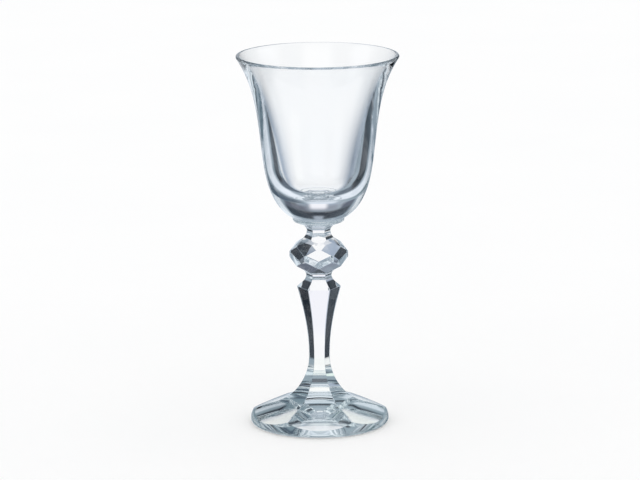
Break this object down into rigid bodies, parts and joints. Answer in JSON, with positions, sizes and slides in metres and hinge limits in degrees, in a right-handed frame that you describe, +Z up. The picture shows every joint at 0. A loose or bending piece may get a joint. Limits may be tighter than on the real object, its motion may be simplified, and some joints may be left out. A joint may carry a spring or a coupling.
{
  "type": "liqueur glass",
  "caption": "Stemmed liqueur glass in clear glass: flared bell bowl, round collar, diamond-cut knop, tapered faceted stem and fluted round foot.",
  "frame": {"origin": "centre of the circle that the foot stands on", "axes": "+Z up along the axis of the glass, one flat of the stem facing -Y"},
  "size_m": [0.0584, 0.0584, 0.135],
  "materials": {
    "foot_glass": "pressed, fire-polished",
    "stem_glass": "faceted, polished",
    "knop_glass": "faceted, polished",
    "collar_glass": "fire-polished",
    "bowl_glass": "blown, fire-polished lip"
  },
  "bodies": {
    "root": {"foot": "foot_glass", "stem": "stem_glass", "knop": "knop_glass", "collar": "collar_glass", "bowl": "bowl_glass"}
  },
  "joints": []
}
